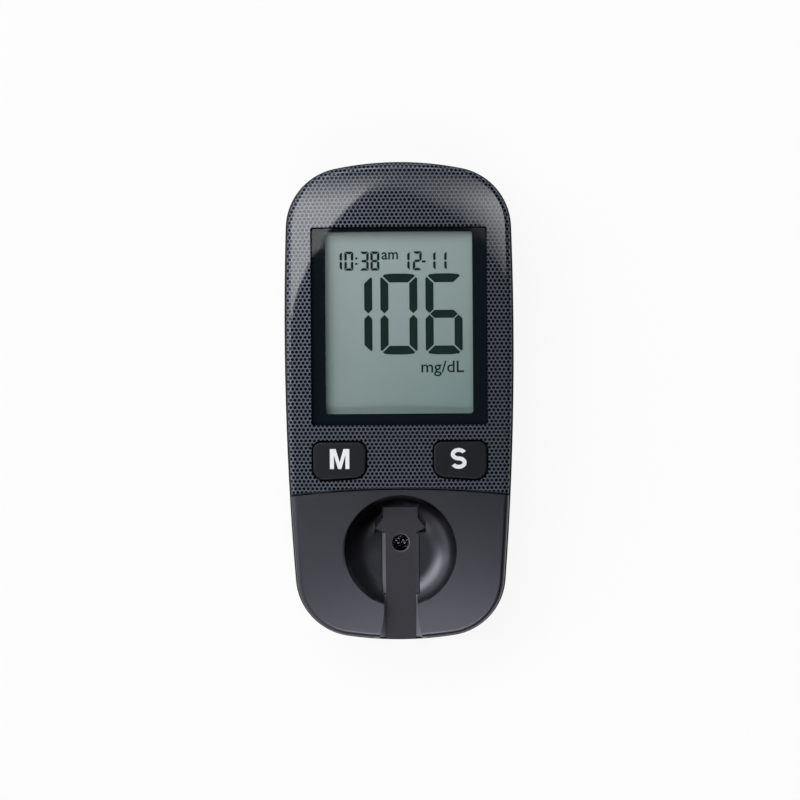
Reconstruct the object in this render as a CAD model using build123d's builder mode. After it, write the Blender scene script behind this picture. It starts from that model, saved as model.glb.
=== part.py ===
import math
import os

from build123d import *

os.makedirs("parts", exist_ok=True)

# Blood glucose meter, in millimetres. X runs across it, Y up its length and Z out of the
# display. The origin is under its middle, on the plane that the flat back lies on.

# Body outline and crown
body_length = 97.8
body_width = 46.8
body_height = 19.1
top_arc_radius = 66.4
bottom_arc_radius = 76.0
side_arc_radius = 690.0
widest_y = 14.0
top_corner_radius = 12.45
bottom_corner_radius = 12.4
crest_y = 13.0
crown_long_radius = 450.0
crown_cross_radius = 180.0
back_edge_radius = 5.0

# Housing shells
shell_wall = 1.6
lip_wall = 0.8
lip_depth = 1.2
seat_gap = 0.1
rim_width = 0.4
rim_drop = 3.2
deck_wall = 1.0
support_post_radius = 1.6
support_post_margin = 5.2
support_post_ys = (-14.0, 10.0, 30.0)

# Face plate, seam and optics cover skin
plate_wall = 1.2
plate_edge_radius = 1.2
inner_chamfer = 0.5
seam_y = -17.8
seam_radius = 187.0
seam_gap = 0.25

# Display
window_width = 35.8
window_top = 35.4
window_bottom = -4.8
window_corner = 0.4
window_ledge = 0.9
mask_side = 2.95
mask_top = 0.8
mask_bottom = 2.3
view_corner = 0.6
lens_gap = 0.05
mask_wall = 0.1
lcd_recess = 3.9
glass_wall = 0.8
glass_width = 33.0
glass_over_top = 1.2
glass_over_bottom = 2.9
contact_ledge = 2.3
reflector_wall = 0.2
gasket_width = 1.1
frame_wall = 1.1
frame_gap = 0.3
frame_shelf = 1.4
zebra_width = 1.8

# Circuit board and what it carries
light_path = 1.3
board_wall = 1.2
board_sink = 0.3
board_inset = 2.9
boss_radius = 2.0
boss_upper_x = 8.5
boss_lower_margin = 6.5
boss_lower_y = -27.0
screw_radius = 0.8
screw_grip = 3.0
screw_head_radius = 1.5
screw_head_height = 0.8
chip_size = 10.0
chip_height = 1.4
chip_y = 15.0
crystal_radius = 1.0
crystal_length = 6.0
crystal_x = 9.0
crystal_y = 22.0
beeper_radius = 6.0
beeper_height = 3.0
beeper_y = -6.0
beeper_hole_radius = 0.6
smd_length = 2.0
smd_width = 1.25
smd_height = 0.6
smd_pitch = 4.0
usb_width = 7.5
usb_height = 2.6
usb_depth = 5.6
usb_wall = 0.3
usb_set_back = 0.7
usb_side_angle = 80.0
usb_gap = 0.35

# Keys
key_inner_x = 6.9
key_side_margin = 5.8
key_window_gap = 3.4
key_inner_length = 7.1
key_outer_length = 7.8
key_top_corner = 1.6
key_bottom_corner = 2.3
key_gap = 0.35
key_proud = 0.3
key_edge_radius = 0.35
key_flange = 0.9
key_flange_wall = 0.8
stem_radius = 2.2
dome_height = 2.1
dome_base_radius = 3.9
dome_wall = 0.5

# Dish, slot and strip guide
dish_y = -30.9
dish_floor_radius = 5.9
dish_arc_radius = 6.0
dish_wall = 0.8
strip_depth = 5.5
guide_rise = 0.7
guide_half_width = 3.05
guide_head_half_width = 3.55
guide_spur_half_width = 5.05
guide_head_y = -21.6
guide_head_length = 2.3
guide_spur_slope = 2.0
guide_spur_tail = 1.0
guide_end_setback = 0.4
rail_end_y = -39.2
guide_flange_wall = 0.7
guide_flange_half_width = 9.0
guide_flange_reach = 1.4
guide_flange_setback = 4.4
guide_gap = 0.15
throat_radius = 10.5
throat_side_gap = 0.3
throat_swing = 1.3
slot_half_width = 3.4
slot_mouth_half_width = 5.1
slot_foot_half_width = 4.1
slot_flare_y = -41.5
hole_y = -28.9
hole_radius = 1.75
hole_chamfer = 0.2
optics_window_radius = 2.6
optics_window_wall = 0.6
optics_block_margin = 1.0
optics_block_setback = 6.9
seal_radius = 4.3
seal_width = 1.3
seal_wall = 0.5
led_pitch = 1.5
led_width = 0.8
diode_size = 1.4
diode_height = 0.6

# Hinge tongues of the optics cover
tongue_margin = 7.4
tongue_width = 4.0
tongue_reach = 0.7
tongue_root = 3.0
tongue_setback = 1.1
tongue_wall = 1.0
tongue_gap = 0.15
tongue_swing = 1.3

# Battery, its well, contacts and door
battery_radius = 10.0
battery_height = 3.2
battery_cap_radius = 8.9
battery_cap_height = 0.6
battery_y = 22.0
battery_z = 1.7
well_gap = 0.35
well_wall = 1.15
well_ceiling_gap = 0.75
well_ceiling = 1.0
contact_wall = 0.25
contact_width = 4.0
contact_gap = 0.02
contact_lift = 0.8
contact_leg_x = -9.0
door_width = 26.0
door_length = 28.0
door_wall = 1.3
door_corner = 2.5
door_recess = 0.1
door_gap = 0.15
door_pad_margin = 2.6
door_pad_height = 2.6
door_hook_x = 9.0
door_hook_width = 3.0
door_hook_reach = 1.2
door_hook_neck = 0.9
door_hook_wall = 0.6
door_hook_swing_out = 2.8
door_hook_swing_in = 4.8
door_latch_width = 8.0
door_latch_wall = 0.9
door_latch_height = 1.5
nail_notch_width = 9.0
nail_notch_radius = 7.0
nail_notch_depth = 0.9
grip_rib_count = 5
grip_rib_pitch = 1.6
grip_rib_depth = 0.25
grip_rib_length = 12.0

# Levels and places worked out from the sizes above
strip_plane = body_height - strip_depth
dish_floor = strip_plane - guide_rise
dish_under = dish_floor - dish_wall
guide_flange_top = dish_under - 2 * seat_gap
guide_foot = guide_flange_top - guide_flange_wall
board_top = guide_foot - light_path
board_z = board_top - board_wall
split_height = board_z + board_sink
lcd_top = body_height - lcd_recess
lcd_bottom = lcd_top - 2 * glass_wall
deck_depth = plate_wall + mask_wall
deck_under = deck_depth + deck_wall
guide_neck_y = guide_head_y - guide_head_length
guide_spur_y = guide_neck_y - guide_spur_slope
guide_spur_end_y = guide_spur_y - guide_spur_tail
guide_end_y = -body_length / 2 + guide_end_setback
guide_flange_top_y = guide_head_y + guide_flange_reach
throat_top_y = dish_y + throat_radius
view_width = window_width - 2 * mask_side
view_top = window_top - mask_top
view_bottom = window_bottom + mask_bottom
glass_top = view_top + glass_over_top
glass_bottom = view_bottom - glass_over_bottom
frame_top = glass_top + frame_gap + frame_wall
boss_upper_y = frame_top + frame_gap + boss_radius
boss_lower_x = body_width / 2 - boss_lower_margin
boss_places = (
    (-boss_upper_x, boss_upper_y),
    (boss_upper_x, boss_upper_y),
    (-boss_lower_x, boss_lower_y),
    (boss_lower_x, boss_lower_y),
)
support_post_x = body_width / 2 - support_post_margin
key_outer_x = body_width / 2 - key_side_margin
key_top_y = window_bottom - key_window_gap
key_inner_bottom_y = key_top_y - key_inner_length
key_outer_bottom_y = key_top_y - key_outer_length
tongue_x = body_width / 2 - tongue_margin
dome_top = board_top + dome_height
well_radius = battery_radius + well_gap
well_ceiling_z = battery_z + battery_height + well_ceiling_gap
door_inner_z = door_recess + door_wall
door_ledge_z = door_inner_z + seat_gap
door_bottom_y = battery_y - door_length / 2
door_top_y = battery_y + door_length / 2
glass_mid_y = (glass_top + glass_bottom) / 2
glass_length = glass_top - glass_bottom
skin_foot = split_height + plate_wall
hook_top_z = shell_wall + seat_gap + door_hook_wall


def crown_z(x, y, depth=0.0):
    """Height of the crown, or of the surface that lies depth under it."""
    cross = math.sqrt((crown_long_radius - depth) ** 2 - (y - crest_y) ** 2)
    cross += crown_cross_radius - crown_long_radius
    return body_height - crown_cross_radius + math.sqrt(cross**2 - x**2)


def body_outline(inset=0.0):
    """The plan of the body: four long arcs with rounded corners between them."""
    with BuildSketch() as plan:
        with Locations((0, body_length / 2 - top_arc_radius)):
            Circle(top_arc_radius - inset)
        with Locations((0, bottom_arc_radius - body_length / 2)):
            Circle(bottom_arc_radius - inset, mode=Mode.INTERSECT)
        with Locations((side_arc_radius - body_width / 2, widest_y)):
            Circle(side_arc_radius - inset, mode=Mode.INTERSECT)
        with Locations(Location((body_width / 2 - side_arc_radius, widest_y), 90)):
            Circle(side_arc_radius - inset, mode=Mode.INTERSECT)
        fillet(plan.vertices().sort_by(Axis.Y)[-2:], top_corner_radius - inset)
        fillet(plan.vertices().sort_by(Axis.Y)[:2], bottom_corner_radius - inset)
    return plan.sketch


def under_crown(depth=0.0):
    """Everything under the double-curved surface that lies depth below the crown."""
    axis_z = body_height - crown_cross_radius
    low_y = crest_y - body_length
    high_y = crest_y + body_length
    with BuildPart() as barrel:
        with BuildSketch(Plane.YZ):
            with BuildLine():
                ThreePointArc(
                    (low_y, crown_z(0, low_y, depth)),
                    (crest_y, body_height - depth),
                    (high_y, crown_z(0, high_y, depth)),
                )
                Line((high_y, crown_z(0, high_y, depth)), (high_y, axis_z))
                Line((high_y, axis_z), (low_y, axis_z))
                Line((low_y, axis_z), (low_y, crown_z(0, low_y, depth)))
            make_face()
        revolve(axis=Axis((0, 0, axis_z), (0, 1, 0)))
    return barrel.part


def crowned_block(inset, depth, base_z, rim_radius=0.0, rim_chamfer=0.0):
    """The body's plan raised from base_z to under the crown, with its top rim rounded or cut off."""
    with BuildPart() as block:
        with BuildSketch(Plane.XY.offset(base_z)):
            add(body_outline(inset))
        extrude(amount=body_height)
        add(under_crown(depth), mode=Mode.INTERSECT)
        if rim_radius:
            fillet(block.faces().sort_by(Axis.Z)[-1].edges(), rim_radius)
        if rim_chamfer:
            chamfer(block.faces().sort_by(Axis.Z)[-1].edges(), rim_chamfer)
    return block.part


def rounded_back(inset):
    """The lower body up to the split, with the round edge that leads to the flat back."""
    with BuildPart() as block:
        with BuildSketch(Plane.XY.offset(inset)):
            add(body_outline(inset))
        extrude(amount=split_height - inset)
        fillet(block.faces().sort_by(Axis.Z)[0].edges(), back_edge_radius - inset)
    return block.part


def key_outline(side, grow=0.0):
    """The plan of one key, with its lower edge slanted to follow the seam."""
    with BuildSketch() as plan:
        with BuildLine():
            Polyline(
                (side * key_inner_x, key_top_y),
                (side * key_inner_x, key_inner_bottom_y),
                (side * key_outer_x, key_outer_bottom_y),
                (side * key_outer_x, key_top_y),
                close=True,
            )
        make_face()
        fillet(plan.vertices().sort_by(Axis.Y)[-2:], key_top_corner)
        fillet(plan.vertices().sort_by(Axis.Y)[:2], key_bottom_corner)
        if grow:
            offset(amount=grow)
    return plan.sketch


def plate_box(low_x, high_x, low_y, high_y, corner=0.0):
    """A rectangle in plan between two corners, with round corners if asked."""
    with BuildSketch() as plan:
        with Locations(((low_x + high_x) / 2, (low_y + high_y) / 2)):
            if corner:
                RectangleRounded(high_x - low_x, high_y - low_y, corner)
            else:
                Rectangle(high_x - low_x, high_y - low_y)
    return plan.sketch


window_plan = plate_box(-window_width / 2, window_width / 2, window_bottom, window_top, window_corner)
view_plan = plate_box(-view_width / 2, view_width / 2, view_bottom, view_top, view_corner)
plate_under = under_crown(plate_wall)
deck_top = under_crown(deck_depth)
skin_block = crowned_block(rim_width, 0, skin_foot, rim_radius=plate_edge_radius)
skin_core = crowned_block(rim_width + plate_wall, plate_wall, skin_foot, rim_chamfer=inner_chamfer)


# Rear housing: a tray with a battery well behind the display
with BuildPart() as rear_housing:
    add(rounded_back(0))
    add(rounded_back(shell_wall), mode=Mode.SUBTRACT)
    with BuildSketch(Plane.XY.offset(shell_wall / 2)):
        with Locations((0, battery_y)):
            Rectangle(door_width + 2 * door_pad_margin, door_length + 2 * door_pad_margin)
    extrude(amount=door_pad_height - shell_wall / 2)
    with BuildSketch(Plane.XY.offset(door_ledge_z)):
        with Locations((0, battery_y)):
            Circle(well_radius + well_wall)
    extrude(amount=well_ceiling_z + well_ceiling - door_ledge_z)
    with BuildSketch():
        with Locations((0, battery_y)):
            Circle(well_radius)
    extrude(amount=well_ceiling_z, mode=Mode.SUBTRACT)
    with BuildSketch():
        with Locations((0, battery_y)):
            RectangleRounded(door_width + 2 * door_gap, door_length + 2 * door_gap, door_corner)
    extrude(amount=door_ledge_z, mode=Mode.SUBTRACT)
    # slots that the door's hooks swing in, and the clearance for its latch
    hook_half = door_hook_width / 2 + frame_gap
    with BuildSketch(Plane.XY.offset(shell_wall)):
        for hook_x in (-door_hook_x, door_hook_x):
            swing_low_y = door_bottom_y - door_hook_swing_out
            swing_high_y = door_bottom_y + door_hook_swing_in
            add(plate_box(hook_x - hook_half, hook_x + hook_half, swing_low_y, swing_high_y))
    extrude(amount=split_height, mode=Mode.SUBTRACT)
    with BuildSketch():
        for hook_x in (-door_hook_x, door_hook_x):
            mouth_high_y = door_bottom_y + door_hook_swing_out
            add(plate_box(hook_x - hook_half, hook_x + hook_half, door_bottom_y, mouth_high_y))
    extrude(amount=door_pad_height, mode=Mode.SUBTRACT)
    with BuildSketch():
        with Locations((0, door_top_y - door_latch_wall)):
            Rectangle(door_latch_width + 2 * frame_gap, 2 * door_latch_wall + 2 * door_gap)
    extrude(amount=door_pad_height + door_latch_height, mode=Mode.SUBTRACT)
    # nail notch beside the latch
    with BuildSketch(Plane.YZ.offset(-nail_notch_width / 2)):
        with Locations((door_top_y, nail_notch_depth - nail_notch_radius)):
            Circle(nail_notch_radius)
    extrude(amount=nail_notch_width, mode=Mode.SUBTRACT)
    # slots in the well for the two contacts
    with BuildSketch(Plane.XY.offset(battery_z + contact_lift - frame_gap)):
        with Locations((battery_radius + contact_wall, battery_y)):
            Rectangle(3 * contact_wall, contact_width + 2 * frame_gap)
    extrude(amount=2 * split_height, mode=Mode.SUBTRACT)
    with BuildSketch(Plane.XY.offset(well_ceiling_z)):
        with Locations((contact_leg_x, battery_y)):
            Rectangle(3 * contact_wall, contact_width + 2 * frame_gap)
    extrude(amount=split_height, mode=Mode.SUBTRACT)
    # posts that the circuit board rests on
    with BuildSketch(Plane.XY.offset(shell_wall / 2)):
        for post_y in support_post_ys:
            with Locations((-support_post_x, post_y), (support_post_x, post_y)):
                Circle(support_post_radius)
    extrude(amount=board_z - shell_wall / 2)
    # sound holes under the beeper
    with BuildSketch():
        with Locations((0, beeper_y)):
            with PolarLocations(3 * beeper_hole_radius, 6):
                Circle(beeper_hole_radius)
            Circle(beeper_hole_radius)
    extrude(amount=shell_wall, mode=Mode.SUBTRACT)
rear_housing.part.label = "rear_housing"
export_step(rear_housing.part, "parts/rear_housing.step")


# Bosses for the board's screws, from the board up into the deck
with BuildPart() as bosses:
    with BuildSketch(Plane.XY.offset(board_top)):
        with Locations(*boss_places):
            Circle(boss_radius)
    extrude(amount=body_height)
    add(under_crown(deck_under - deck_wall / 2), mode=Mode.INTERSECT)

# Front housing: a rim that the two skins sit in, round a raised deck
with BuildPart() as front_housing:
    add(crowned_block(0, rim_drop, split_height))
    deck_inset = rim_width + plate_wall + seat_gap
    add(crowned_block(deck_inset, deck_depth, split_height, rim_chamfer=inner_chamfer))
    add(crowned_block(shell_wall, rim_drop + plate_wall, split_height), mode=Mode.SUBTRACT)
    add(crowned_block(deck_inset + deck_wall, deck_under, split_height), mode=Mode.SUBTRACT)
    # lip that locates the rear housing
    with BuildSketch(Plane.XY.offset(split_height - lip_depth)):
        add(body_outline(shell_wall + seat_gap))
        add(body_outline(shell_wall + lip_wall), mode=Mode.SUBTRACT)
    extrude(amount=lip_depth)
    with BuildSketch(Plane.XY.offset(split_height)):
        add(body_outline(shell_wall - seat_gap))
        add(body_outline(shell_wall + lip_wall), mode=Mode.SUBTRACT)
    extrude(amount=lip_wall)
    # window, key holes and the way for the dish, the guide and the tongues
    with BuildSketch(Plane.XY.offset(split_height)):
        add(
            plate_box(
                window_ledge - window_width / 2,
                window_width / 2 - window_ledge,
                window_bottom + window_ledge,
                window_top - window_ledge,
                window_corner,
            )
        )
        for side in (-1, 1):
            add(key_outline(side, key_gap))
            tongue_side = side * tongue_x - tongue_width / 2 - frame_gap
            pocket_low = seam_y - tongue_root - tongue_swing
            pocket_high = seam_y + tongue_reach + tongue_swing
            pocket_far = tongue_side + tongue_width + 2 * frame_gap
            add(plate_box(tongue_side, pocket_far, pocket_low, pocket_high))
        with Locations((0, dish_y)):
            Circle(dish_floor_radius + dish_arc_radius + dish_wall + key_gap)
    extrude(amount=body_height, mode=Mode.SUBTRACT)
    with BuildSketch(Plane.XY.offset(guide_flange_top - seat_gap)):
        add(
            plate_box(
                -slot_mouth_half_width - 2 * plate_wall,
                slot_mouth_half_width + 2 * plate_wall,
                -body_length,
                dish_y,
            )
        )
    extrude(amount=body_height, mode=Mode.SUBTRACT)
    # bosses that carry the circuit board
    add(bosses.part)
    with BuildSketch(Plane.XY.offset(board_top)):
        with Locations(*boss_places):
            Circle(screw_radius)
    extrude(amount=screw_grip + seat_gap, mode=Mode.SUBTRACT)
    # opening for the data socket in the top end
    with BuildSketch(Plane.XZ.offset(-body_length / 2 + 2 * shell_wall + lip_wall)):
        with Locations((0, board_top + usb_height / 2)):
            RectangleRounded(usb_width + 2 * usb_gap, usb_height + usb_gap, usb_gap)
    extrude(amount=-body_length / 2, mode=Mode.SUBTRACT)
front_housing.part.label = "front_housing"
export_step(front_housing.part, "parts/front_housing.step")


# Face plate: the upper skin, from the seam to the top end
with BuildPart() as face_plate:
    add(skin_block)
    add(skin_core, mode=Mode.SUBTRACT)
    add(under_crown(rim_drop - seat_gap), mode=Mode.SUBTRACT)
    with BuildSketch():
        with Locations((0, seam_y - seam_radius)):
            Circle(seam_radius + seam_gap / 2)
    extrude(amount=2 * body_height, mode=Mode.SUBTRACT)
    with BuildSketch():
        add(window_plan)
        for side in (-1, 1):
            add(key_outline(side, key_gap))
    extrude(amount=2 * body_height, mode=Mode.SUBTRACT)
face_plate.part.label = "face_plate"
export_step(face_plate.part, "parts/face_plate.step")


# Display lens: a clear pane, flush in the face plate
with BuildPart() as display_lens:
    with BuildSketch():
        add(window_plan)
        offset(amount=-lens_gap)
    extrude(amount=2 * body_height)
    add(under_crown(), mode=Mode.INTERSECT)
    add(plate_under, mode=Mode.SUBTRACT)
display_lens.part.label = "display_lens"
export_step(display_lens.part, "parts/display_lens.step")


# Window mask: the black film behind the lens, open over the display
with BuildPart() as window_mask:
    with BuildSketch():
        add(window_plan)
        offset(amount=-lens_gap)
        add(view_plan, mode=Mode.SUBTRACT)
    extrude(amount=2 * body_height)
    add(plate_under, mode=Mode.INTERSECT)
    add(deck_top, mode=Mode.SUBTRACT)
window_mask.part.label = "window_mask"
export_step(window_mask.part, "parts/window_mask.step")


# Display gasket: foam between the glass and the deck
with BuildPart() as display_gasket:
    with BuildSketch(Plane.XY.offset(lcd_top)):
        with Locations((0, glass_mid_y)):
            Rectangle(glass_width, glass_length)
            Rectangle(glass_width - 2 * gasket_width, glass_length - 2 * gasket_width, mode=Mode.SUBTRACT)
    extrude(amount=body_height)
    add(under_crown(deck_under), mode=Mode.INTERSECT)
display_gasket.part.label = "display_gasket"
export_step(display_gasket.part, "parts/display_gasket.step")


# Display frame: holds the glass over the circuit board
with BuildPart() as lcd_frame:
    pocket_z = lcd_bottom - reflector_wall
    with BuildSketch(Plane.XY.offset(board_top)):
        with Locations((0, glass_mid_y)):
            RectangleRounded(
                glass_width + 2 * (frame_gap + frame_wall),
                glass_length + 2 * (frame_gap + frame_wall),
                frame_wall,
            )
    extrude(amount=lcd_top - frame_gap - board_top)
    with BuildSketch(Plane.XY.offset(pocket_z)):
        with Locations((0, glass_mid_y)):
            Rectangle(glass_width + 2 * frame_gap, glass_length + 2 * frame_gap)
    extrude(amount=body_height, mode=Mode.SUBTRACT)
    with BuildSketch(Plane.XY.offset(board_top)):
        add(
            plate_box(
                frame_shelf - glass_width / 2,
                glass_width / 2 - frame_shelf,
                glass_bottom + contact_ledge + frame_shelf,
                glass_top - frame_shelf,
            )
        )
        with Locations((0, glass_bottom + contact_ledge / 2)):
            Rectangle(glass_width - 2 * frame_shelf, zebra_width + 2 * seat_gap)
    extrude(amount=body_height, mode=Mode.SUBTRACT)
lcd_frame.part.label = "lcd_frame"
export_step(lcd_frame.part, "parts/lcd_frame.step")


# Display cell: two panes, the front one longer by the contact ledge
with BuildPart() as lcd_cell:
    with BuildSketch(Plane.XY.offset(lcd_top - glass_wall)):
        add(plate_box(-glass_width / 2, glass_width / 2, glass_bottom, glass_top))
    extrude(amount=glass_wall)
    with BuildSketch(Plane.XY.offset(lcd_bottom)):
        add(plate_box(-glass_width / 2, glass_width / 2, glass_bottom + contact_ledge, glass_top))
    extrude(amount=glass_wall)
lcd_cell.part.label = "lcd_cell"
export_step(lcd_cell.part, "parts/lcd_cell.step")


# Reflector: the sheet that lights the display from behind
with BuildPart() as lcd_reflector:
    with BuildSketch(Plane.XY.offset(lcd_bottom - reflector_wall)):
        add(
            plate_box(
                seat_gap - glass_width / 2,
                glass_width / 2 - seat_gap,
                glass_bottom + contact_ledge,
                glass_top - seat_gap,
            )
        )
    extrude(amount=reflector_wall)
lcd_reflector.part.label = "lcd_reflector"
export_step(lcd_reflector.part, "parts/lcd_reflector.step")


# Zebra strip: the rubber contact from the board up to the glass
with BuildPart() as zebra_strip:
    with BuildSketch(Plane.XY.offset(board_top)):
        with Locations((0, glass_bottom + contact_ledge / 2)):
            Rectangle(glass_width - 2 * frame_shelf - 2 * seat_gap, zebra_width)
    extrude(amount=lcd_top - glass_wall - board_top)
zebra_strip.part.label = "zebra_strip"
export_step(zebra_strip.part, "parts/zebra_strip.step")


# Main board, drilled for its four screws
with BuildPart() as main_board:
    with BuildSketch(Plane.XY.offset(board_z)):
        add(body_outline(board_inset))
        with Locations(*boss_places):
            Circle(screw_radius + seat_gap, mode=Mode.SUBTRACT)
    extrude(amount=board_wall)
main_board.part.label = "main_board"
export_step(main_board.part, "parts/main_board.step")


# Board screws: pan heads under the board, shanks in the bosses
with BuildPart() as board_screws:
    with BuildSketch(Plane.XY.offset(board_z)):
        with Locations(*boss_places):
            Circle(screw_radius)
    extrude(amount=board_wall + screw_grip)
    with BuildSketch(Plane.XY.offset(board_z)):
        with Locations(*boss_places):
            Circle(screw_head_radius)
    extrude(amount=-screw_head_height)
    chamfer(board_screws.faces().sort_by(Axis.Z)[:4].edges(), screw_head_height / 3)
board_screws.part.label = "board_screws"
export_step(board_screws.part, "parts/board_screws.step")


# Processor chip and its quartz crystal, under the display
with BuildPart() as processor_chip:
    with BuildSketch(Plane.XY.offset(board_top)):
        with Locations((0, chip_y)):
            Rectangle(chip_size, chip_size)
    extrude(amount=chip_height)
    chamfer(processor_chip.faces().sort_by(Axis.Z)[-1].edges(), chip_height / 5)
processor_chip.part.label = "processor_chip"
export_step(processor_chip.part, "parts/processor_chip.step")

with BuildPart() as quartz_crystal:
    with BuildSketch(Plane.XZ.offset(-crystal_y)):
        with Locations((crystal_x, board_top + crystal_radius)):
            Circle(crystal_radius)
    extrude(amount=-crystal_length)
quartz_crystal.part.label = "quartz_crystal"
export_step(quartz_crystal.part, "parts/quartz_crystal.step")


# Small surface-mounted parts, in a row each side of the chip
with BuildPart() as smd_parts:
    with BuildSketch(Plane.XY.offset(board_top)):
        for side in (-1, 1):
            with Locations((side * chip_size, chip_y - chip_size)):
                with GridLocations(smd_pitch, smd_pitch, 2, 3):
                    Rectangle(smd_length, smd_width)
    extrude(amount=smd_height)
smd_parts.part.label = "smd_parts"
export_step(smd_parts.part, "parts/smd_parts.step")


# Beeper: a round sounder under the board
with BuildPart() as beeper:
    with BuildSketch(Plane.XY.offset(board_z - beeper_height)):
        with Locations((0, beeper_y)):
            Circle(beeper_radius)
    extrude(amount=beeper_height)
    with BuildSketch(Plane.XY.offset(board_z - beeper_height)):
        with Locations((0, beeper_y)):
            Circle(beeper_hole_radius)
    extrude(amount=beeper_height / 2, mode=Mode.SUBTRACT)
beeper.part.label = "beeper"
export_step(beeper.part, "parts/beeper.step")


# Data socket: a folded steel shell with its contact tongue
with BuildPart() as usb_socket:
    usb_mouth_y = body_length / 2 - usb_set_back
    with BuildSketch(Plane.XZ.offset(-usb_mouth_y)):
        with Locations((0, board_top + usb_height / 2)):
            Rectangle(usb_width, usb_height)
    extrude(amount=usb_depth)
    with BuildSketch(Plane.XZ.offset(-usb_mouth_y)):
        with Locations((0, board_top + usb_height / 2)):
            Trapezoid(usb_width - 2 * usb_wall, usb_height - 2 * usb_wall, usb_side_angle, usb_side_angle)
    extrude(amount=usb_depth - usb_wall, mode=Mode.SUBTRACT)
    with BuildSketch(Plane.XZ.offset(-usb_mouth_y + 2 * usb_wall)):
        with Locations((0, board_top + usb_height / 2)):
            Rectangle(usb_width / 2, usb_wall)
    extrude(amount=usb_depth - 3 * usb_wall)
usb_socket.part.label = "usb_socket"
export_step(usb_socket.part, "parts/usb_socket.step")


# Keys: a crowned cap, a flange that keeps it under the deck, and a stem over its dome
for name, side in (("button_m", -1), ("button_s", 1)):
    key_middle = (side * (key_inner_x + key_outer_x) / 2, (key_top_y + key_outer_bottom_y) / 2)
    with BuildPart() as key:
        with BuildSketch(Plane.XY.offset(split_height)):
            add(key_outline(side))
        extrude(amount=2 * body_height)
        add(under_crown(-key_proud), mode=Mode.INTERSECT)
        add(under_crown(deck_under + 2 * seat_gap), mode=Mode.SUBTRACT)
        fillet(key.faces().sort_by(Axis.Z)[-1].edges(), key_edge_radius)
    with BuildPart() as flange:
        with BuildSketch(Plane.XY.offset(split_height)):
            add(key_outline(side, key_flange))
        extrude(amount=2 * body_height)
        add(under_crown(deck_under + seat_gap), mode=Mode.INTERSECT)
        add(under_crown(deck_under + seat_gap + key_flange_wall), mode=Mode.SUBTRACT)
    with BuildPart() as button:
        add(key.part)
        add(flange.part)
        with BuildSketch(Plane.XY.offset(dome_top)):
            with Locations(key_middle):
                Circle(stem_radius)
        extrude(until=Until.NEXT)
    button.part.label = name
    export_step(button.part, f"parts/{name}.step")


# Silicone domes that spring the keys back
for name, side in (("m_key_dome", -1), ("s_key_dome", 1)):
    dome_x = side * (key_inner_x + key_outer_x) / 2
    dome_y = (key_top_y + key_outer_bottom_y) / 2
    with BuildPart() as dome:
        with BuildSketch(Plane((dome_x, dome_y, board_top), (1, 0, 0), (0, -1, 0))):
            with BuildLine():
                Polyline(
                    (0, dome_height),
                    (stem_radius, dome_height),
                    (dome_base_radius - 2 * dome_wall, dome_wall),
                    (dome_base_radius, dome_wall),
                    (dome_base_radius, 0),
                    (dome_base_radius - 3 * dome_wall, 0),
                    (stem_radius - dome_wall, dome_height - 2 * dome_wall),
                    (0, dome_height - 2 * dome_wall),
                    close=True,
                )
            make_face()
        revolve(axis=Axis((dome_x, dome_y, 0), (0, 0, 1)))
    dome.part.label = name
    export_step(dome.part, f"parts/{name}.step")


# Strip guide: a raised track with a spurred head, rails in the dish and a measuring hole
with BuildPart() as strip_guide:
    with BuildSketch(Plane.XY.offset(guide_flange_top)):
        with BuildLine():
            Polyline(
                (0, guide_head_y),
                (guide_head_half_width, guide_head_y),
                (guide_head_half_width, guide_neck_y),
                (guide_spur_half_width, guide_spur_y),
                (guide_half_width, guide_spur_end_y),
                (guide_half_width, guide_end_y),
                (0, guide_end_y),
            )
            mirror(about=Plane.YZ)
        make_face()
    extrude(amount=strip_plane - guide_flange_top)
    with BuildSketch(Plane.XZ.offset(-guide_spur_end_y)):
        with BuildLine():
            Polyline(
                (0, guide_flange_top),
                (guide_half_width + guide_rise, guide_flange_top),
                (guide_half_width + guide_rise, dish_floor),
                (guide_half_width, strip_plane),
                (0, strip_plane),
            )
            mirror(about=Plane.YZ)
        make_face()
    extrude(amount=guide_spur_end_y - rail_end_y)
    with BuildSketch(Plane.XY.offset(guide_foot)):
        add(
            plate_box(
                -guide_flange_half_width,
                guide_flange_half_width,
                guide_flange_setback - body_length / 2,
                guide_flange_top_y,
                guide_rise,
            )
        )
    extrude(amount=guide_flange_wall)
    with BuildSketch(Plane.XY.offset(guide_foot)):
        with Locations((0, hole_y)):
            Circle(optics_window_radius)
    extrude(amount=optics_window_wall, mode=Mode.SUBTRACT)
    with BuildSketch(Plane.XY.offset(guide_foot)):
        with Locations((0, hole_y)):
            Circle(hole_radius)
    extrude(amount=body_height, mode=Mode.SUBTRACT)
    hole_rim = strip_guide.edges().filter_by(GeomType.CIRCLE).sort_by(Axis.Z)[-1]
    chamfer(hole_rim, hole_chamfer)
strip_guide.part.label = "strip_guide"
export_step(strip_guide.part, "parts/strip_guide.step")


# Optics window: the clear disc under the measuring hole
with BuildPart() as optics_window:
    with BuildSketch(Plane.XY.offset(guide_foot)):
        with Locations((0, hole_y)):
            Circle(optics_window_radius - lens_gap)
    extrude(amount=optics_window_wall)
optics_window.part.label = "optics_window"
export_step(optics_window.part, "parts/optics_window.step")


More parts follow.
